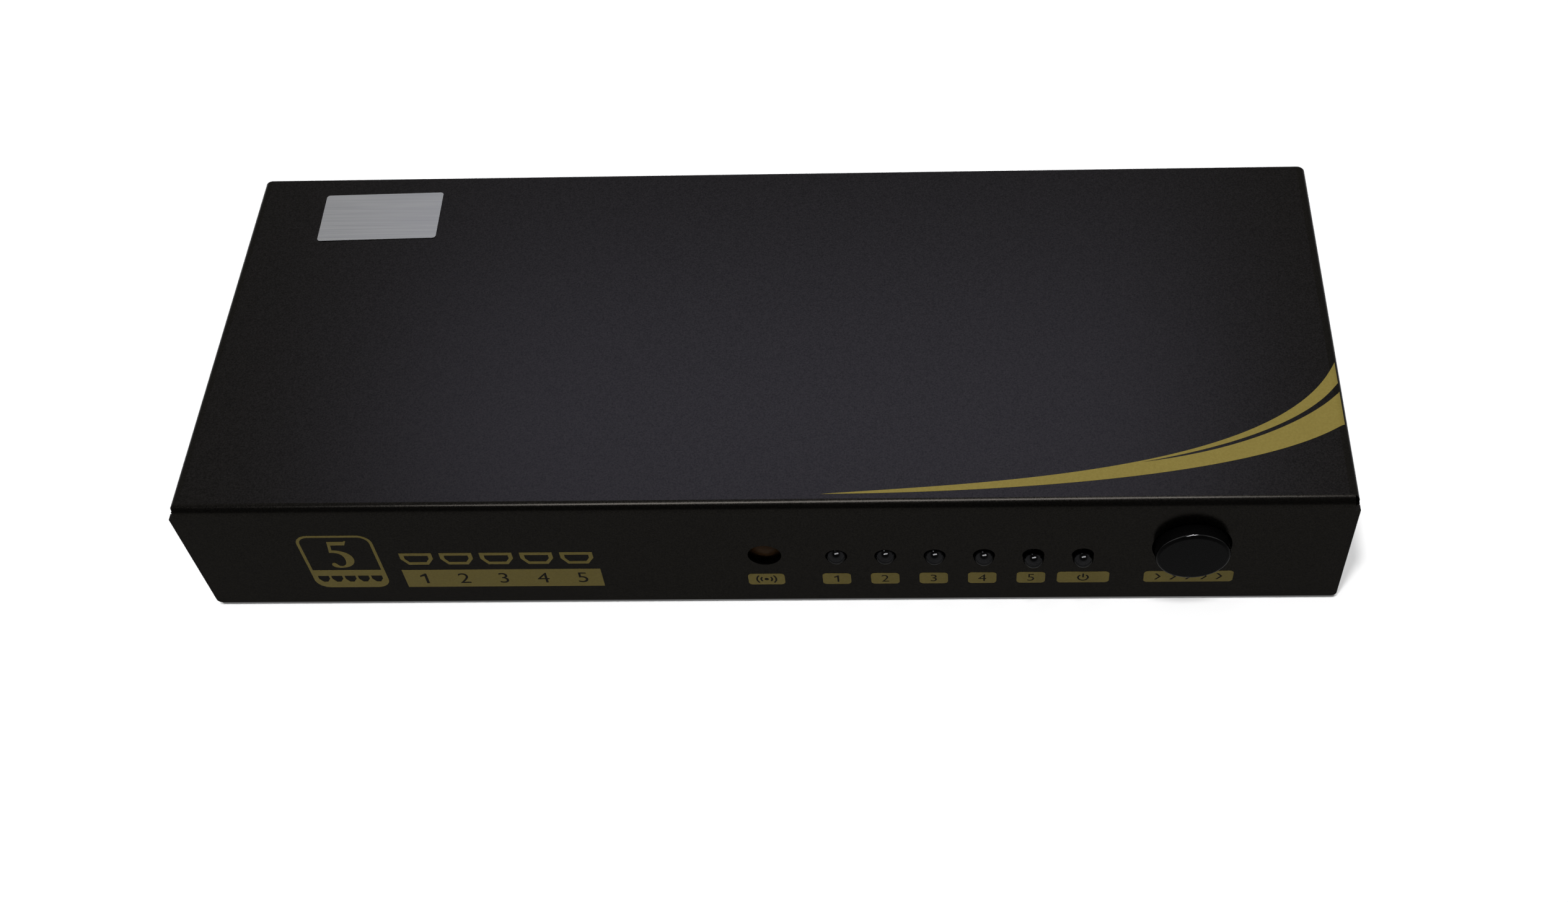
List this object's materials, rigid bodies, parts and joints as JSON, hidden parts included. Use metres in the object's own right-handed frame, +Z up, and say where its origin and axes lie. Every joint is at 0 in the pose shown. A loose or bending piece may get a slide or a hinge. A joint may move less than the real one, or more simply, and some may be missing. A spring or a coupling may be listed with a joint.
{
  "type": "hdmi switch box",
  "caption": "Flat black sheet-metal video switch box with a row of lamps, a receiver window and a push button in front, and a row of sockets behind.",
  "frame": {"origin": "on the table, under the middle of the body", "axes": "+Z up, the front with the lamps and the button faces -Y, +X to the right seen from the front"},
  "size_m": [0.1682, 0.0677, 0.0242],
  "materials": {
    "black_paint": "fine-grained satin black coat on steel sheet",
    "black_steel": "blackened screw steel",
    "rubber": "matt black rubber",
    "foil": "brushed silver foil",
    "board": "green solder mask",
    "brass": "turned brass",
    "steel": "plated steel",
    "clear_lamp": "clear epoxy",
    "receiver": "dark brown infrared epoxy",
    "button": "black gloss plastic with a fine edge",
    "white_plastic": "natural white plastic",
    "black_plastic": "black moulded plastic",
    "shell": "nickel-plated sheet",
    "contact": "gold-plated contact",
    "chip": "black chip moulding",
    "can": "aluminium can"
  },
  "bodies": {
    "box": {"top_cover": "black_paint", "bottom_tray": "black_paint", "rubber_feet": "rubber", "cover_screws": "black_steel", "foil_label": "foil", "circuit_board": "board", "board_standoffs": "brass", "board_screws": "steel", "led_1": "clear_lamp", "led_2": "clear_lamp", "led_3": "clear_lamp", "led_4": "clear_lamp", "led_5": "clear_lamp", "power_led": "clear_lamp", "led_leads": "steel", "ir_receiver": "receiver", "ir_leads": "steel", "switch_spring": "steel", "switch_housing": "black_plastic", "switch_frame": "steel", "switch_pins": "steel", "output_shell": "shell", "output_insulator": "black_plastic", "output_contacts": "contact", "input_1_shell": "shell", "input_1_insulator": "black_plastic", "input_1_contacts": "contact", "input_2_shell": "shell", "input_2_insulator": "black_plastic", "input_2_contacts": "contact", "input_3_shell": "shell", "input_3_insulator": "black_plastic", "input_3_contacts": "contact", "input_4_shell": "shell", "input_4_insulator": "black_plastic", "input_4_contacts": "contact", "input_5_shell": "shell", "input_5_insulator": "black_plastic", "input_5_contacts": "contact", "dc_jack_body": "black_plastic", "dc_jack_pin": "steel", "dc_jack_spring": "steel", "switch_ic": "chip", "controller_ic": "chip", "memory_ics": "chip", "regulator": "chip", "crystal": "steel", "capacitors": "can", "chip_resistors": "chip"},
    "button": {"button_cap": "button", "switch_plunger": "white_plastic", "switch_wiper": "brass"}
  },
  "joints": [
    {"name": "button_press", "type": "slide", "parent": "box", "child": "button", "axis": [0, 1, 0], "range_m": [0, 0.0015], "stiffness_N_per_m": 1300, "deforming": ["switch_spring"]}
  ]
}
